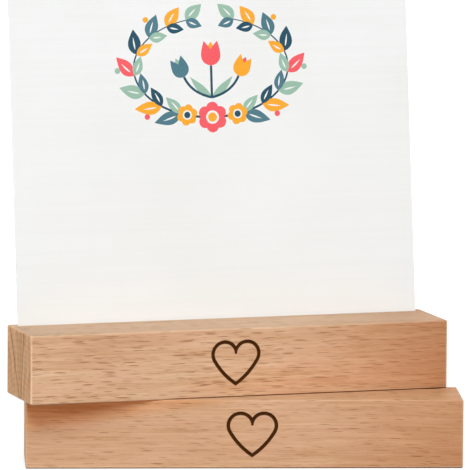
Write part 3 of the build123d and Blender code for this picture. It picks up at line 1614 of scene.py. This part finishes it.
@dataclass(frozen=True)
class Studio:
    """A white room without corners: the floor, the light of the sky and the lamps.

    The camera sees both as pure white. The floor's glow for it grows with the distance, within glow_rise in
    metres, because the lamps light the floor less there.
    """

    floor_half: float = 9.0
    floor_drop: float = 0.00005
    floor_colour: Colour = (0.35, 0.35, 0.35, 1.0)
    floor_glow: float = 0.74
    glow_rise: Pair = (0.2, 0.8)
    sky_colour: Colour = WHITE
    sky_strength: float = 0.115
    lamps: tuple[Lamp, ...] = (
        Lamp("key_lamp", -2.0, 46.0, 2.6, 1.8, 66.0, (0.8, 1.0, 1.13), True),
        Lamp("fill_lamp", 12.0, 6.0, 3.0, 0.9, 24.0, (1.0, 0.46, 0.12), True),
        Lamp("left_lamp", -82.0, 14.0, 2.6, 1.2, 25.0),
        Lamp("right_lamp", 118.0, 10.0, 2.6, 1.2, 30.0),
        Lamp("back_lamp", 178.0, 10.0, 2.6, 1.2, 52.0),
    )

    @staticmethod
    def seen(nodes: Nodes) -> Value:
        """Tells the rays that a viewer sees by from those that carry light.

        Args:
            nodes: the material's or the world's nodes.

        Returns:
            1 for rays from the camera, a mirror or a glass, and 0 for all others.
        """
        path = nodes.add("LightPath").outputs
        both = nodes.math("ADD", path["Is Camera Ray"], path["Is Glossy Ray"])
        return nodes.math("ADD", both, path["Is Transmission Ray"], clamp=True)

    def lay_floor(self) -> None:
        """Adds the floor, which catches shadows and has a glow of its own that only the camera sees."""
        half, low = self.floor_half, -self.floor_drop
        corners = [(-half, -half, low), (half, -half, low), (half, half, low), (-half, half, low)]
        mesh = bpy.data.meshes.new("floor")
        mesh.from_pydata(corners, [], [(0, 1, 2, 3)])
        floor = bpy.data.objects.new("floor", mesh)
        bpy.context.scene.collection.objects.link(floor)
        material, nodes = new_material("white_floor")
        matt = nodes.add("BsdfDiffuse", {"Color": self.floor_colour})
        away = nodes.length(nodes.add("TexCoord").outputs["Object"])
        strength = nodes.ramp(away, *self.glow_rise, self.floor_glow, 1.0)
        glow = nodes.add("Emission", {"Strength": self.seen(nodes) * strength})
        nodes.finish(nodes.add("AddShader", {0: matt.outputs[0], 1: glow.outputs[0]}))
        mesh.materials.append(material)
        floor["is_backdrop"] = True

    def open_sky(self) -> None:
        """Fills the world with white for the camera and with softer light for the object."""
        world = bpy.data.worlds.new("white_room")
        bpy.context.scene.world = world
        world.use_nodes = True
        nodes = Nodes(world.node_tree)
        light = nodes.add("Background", {"Color": self.sky_colour, "Strength": self.sky_strength})
        white = nodes.add("Background", {"Color": WHITE, "Strength": 1.0})
        mixed = nodes.add("MixShader", {0: self.seen(nodes), 1: light.outputs[0], 2: white.outputs[0]})
        nodes.add("OutputWorld", {"Surface": mixed.outputs[0]})

    def build(self, target: Vector) -> None:
        """Lays the floor, opens the sky and hangs the lamps.

        Args:
            target: the point that the lamps shine on.
        """
        self.lay_floor()
        self.open_sky()
        for lamp in self.lamps:
            lamp.hang(target)
        view = bpy.context.scene.view_settings
        view.view_transform = "Standard"


UPPER_BEECH = BeechFinish(
    seed=11.3,
    pith=(-2.2, -34.0),
    warm_shares=(0.55, 1.1),
    warm_strength=0.95,
    # The upper block's foot is darkened with painted shade where it sits on the lower block
    shelter=Shelter(foot_painted_shade=(0.9, 0.95, 0.96, 1.0), touch_from=-34.0),
    checks=(
        EndCheck(11.8, -0.9, 0.65, 0.95),
        EndCheck(-6.2, -2.6, 0.75, 0.9),
        EndCheck(-3.4, -1.6, 0.45, 0.45),
    ),
)
LOWER_BEECH = BeechFinish(
    seed=27.9,
    pith=(-46.0, -58.0),
    warm_shares=(0.5, 1.1),
    warm_strength=0.7,
    fleck_kinds=(SMALL_FLECK, THIN_FLECK, replace(LARGE_FLECK, kept=0.27)),
    fleck_strengths=(0.6, 1.0),
    wear_and_highlight=EdgeWearAndHighlight(top=0.0, side=0.25),
    # Painted light and shade on the lower block's level faces
    level_painted_light=(1.02, 0.98, 0.92, 1.0),
    level_warmth=1.0,
    level_calm=0.0,
    # A warm painted shadow on the lower block's front, under the upper block's overhang
    shelter=Shelter(overhang_shadow_tone=(1.02, 0.87, 0.73, 1.0)),
    end_pale=tint(220, 172, 130),
    end_deep=tint(188, 136, 96),
    pale=tint(227, 186, 149),
    deep=tint(201, 152, 113),
)

# How far each heart lies to the right of its block's middle
UPPER_HEART_SHIFT = -2.0
LOWER_HEART_SHIFT = 2.7


def main() -> None:
    """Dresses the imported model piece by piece."""
    logging.basicConfig(level=logging.INFO, format="%(name)s: %(message)s")
    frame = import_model()
    packed_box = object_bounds()
    slide = next(joint for joint in frame["joints"] if joint["name"] == "print_slide")
    mount = next(mount for mount in frame["record"]["mounts"] if mount["name"] == "upper_slot")
    side, back, up = slide["axis"]
    turn, lean = math.atan2(-side, back), math.acos(up)

    for block in (
        HolderBlock("lower_block", "lower_holder", "lower_beech", 0.0, LOWER_HEART_SHIFT, LOWER_BEECH),
        HolderBlock("upper_block", "upper_holder", "upper_beech", turn, UPPER_HEART_SHIFT, UPPER_BEECH),
    ):
        block.dress()
        block.burn_heart()

    axis = np.array(slide["axis"])
    own = node_points(frame["nodes"]["photo_print"]) @ axis
    mouth = np.array(mount["pos_m"])
    foot = (mouth + (own.min() - mouth @ axis) * axis) / MM
    PrintCard("photo_print", "print", "print_card", turn, lean, tuple(foot.tolist())).build()

    Studio().build((packed_box[0] + packed_box[1]) / 2)
    Viewpoint().place()


if __name__ == "__main__":
    main()
